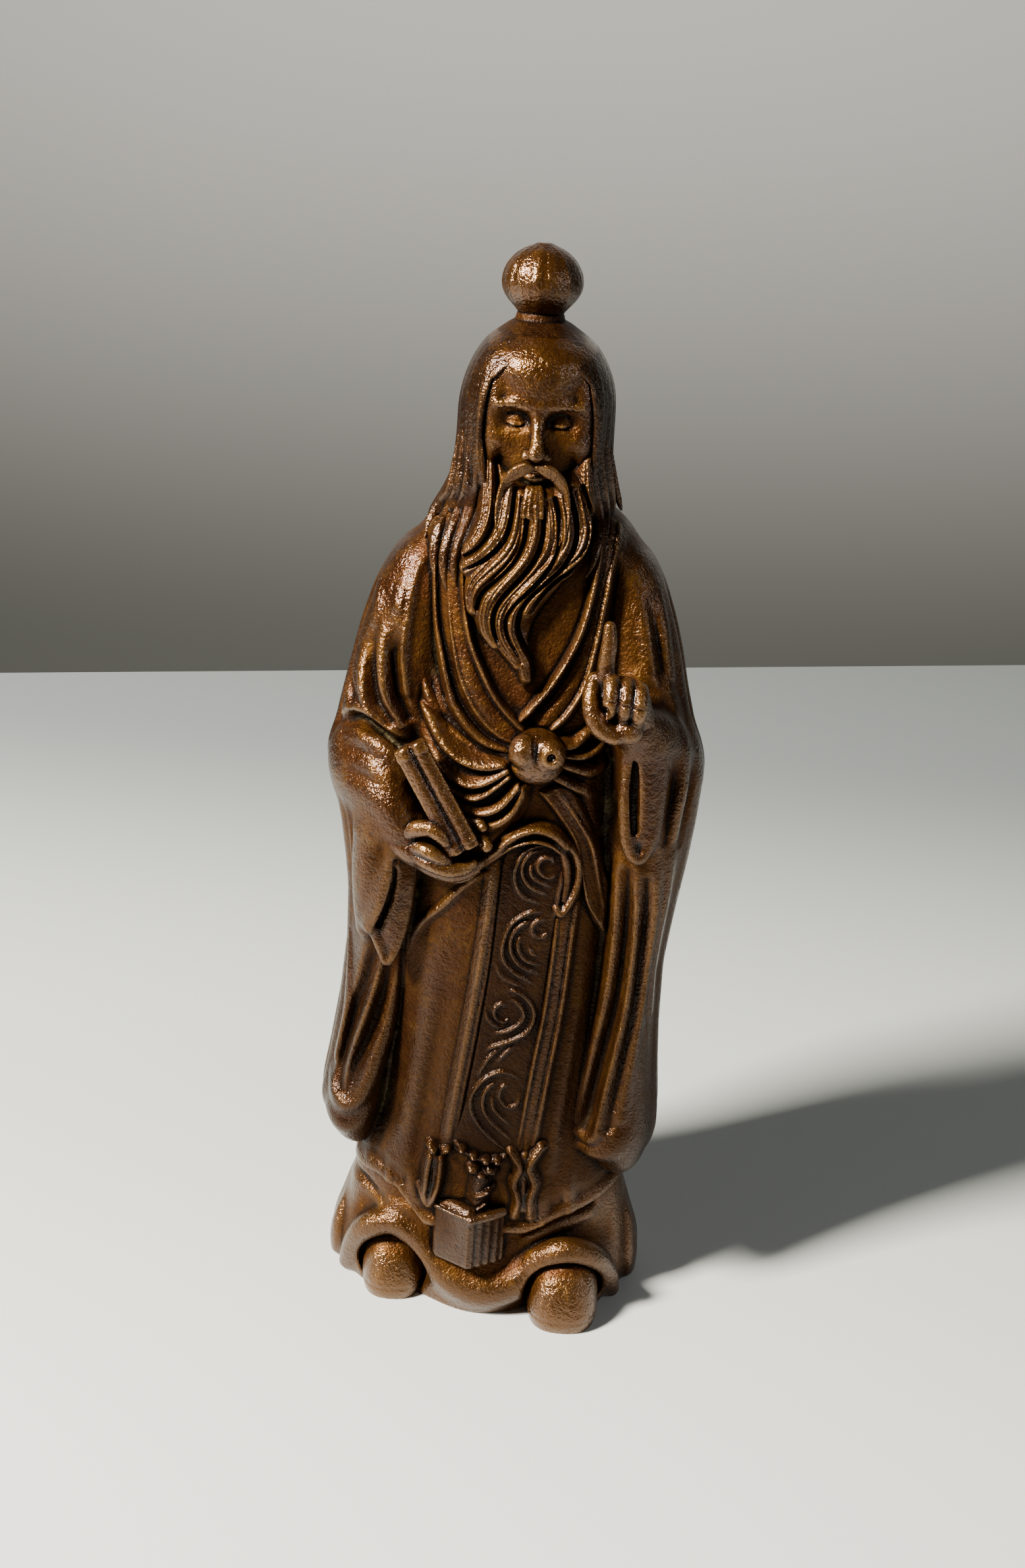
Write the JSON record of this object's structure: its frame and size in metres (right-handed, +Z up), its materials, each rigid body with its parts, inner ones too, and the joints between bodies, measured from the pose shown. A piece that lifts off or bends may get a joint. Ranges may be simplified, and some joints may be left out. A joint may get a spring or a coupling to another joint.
{
  "type": "cast figurine",
  "caption": "Small standing robed sage in brown cast bronze, scroll in one hand and a finger raised on the other, resting on a flared skirt with an open core.",
  "frame": {"origin": "on the standing surface, under the middle of the figure's outline", "axes": "+Z up, the figure faces -Y, its left side is +X"},
  "size_m": [0.0516, 0.0361, 0.1501],
  "materials": {
    "robe_bronze": "red-brown patina over cast bronze, waxed, fine casting grain",
    "worn_bronze": "patina rubbed thin by handling, warmer and smoother",
    "dark_bronze": "patina left dark in low relief, waxed"
  },
  "bodies": {
    "root": {"topknot": "worn_bronze", "topknot_band": "robe_bronze", "moustache": "robe_bronze", "beard": "robe_bronze", "head": "worn_bronze", "hair": "dark_bronze", "scroll": "worn_bronze", "right_hand": "worn_bronze", "left_hand": "worn_bronze", "waist_knot": "worn_bronze", "belt_cord": "robe_bronze", "ribbon_tail": "robe_bronze", "right_lapel": "robe_bronze", "left_lapel": "robe_bronze", "right_sash_gather": "robe_bronze", "left_sash_gather": "robe_bronze", "right_panel_border": "robe_bronze", "left_panel_border": "robe_bronze", "right_tassel": "robe_bronze", "left_tassel": "robe_bronze", "pleated_hem": "dark_bronze", "pendant": "dark_bronze", "front_panel": "dark_bronze", "right_sleeve": "robe_bronze", "left_sleeve": "robe_bronze", "right_shoe": "worn_bronze", "left_shoe": "worn_bronze", "robe_body": "robe_bronze", "under_skirt": "robe_bronze"}
  },
  "joints": []
}
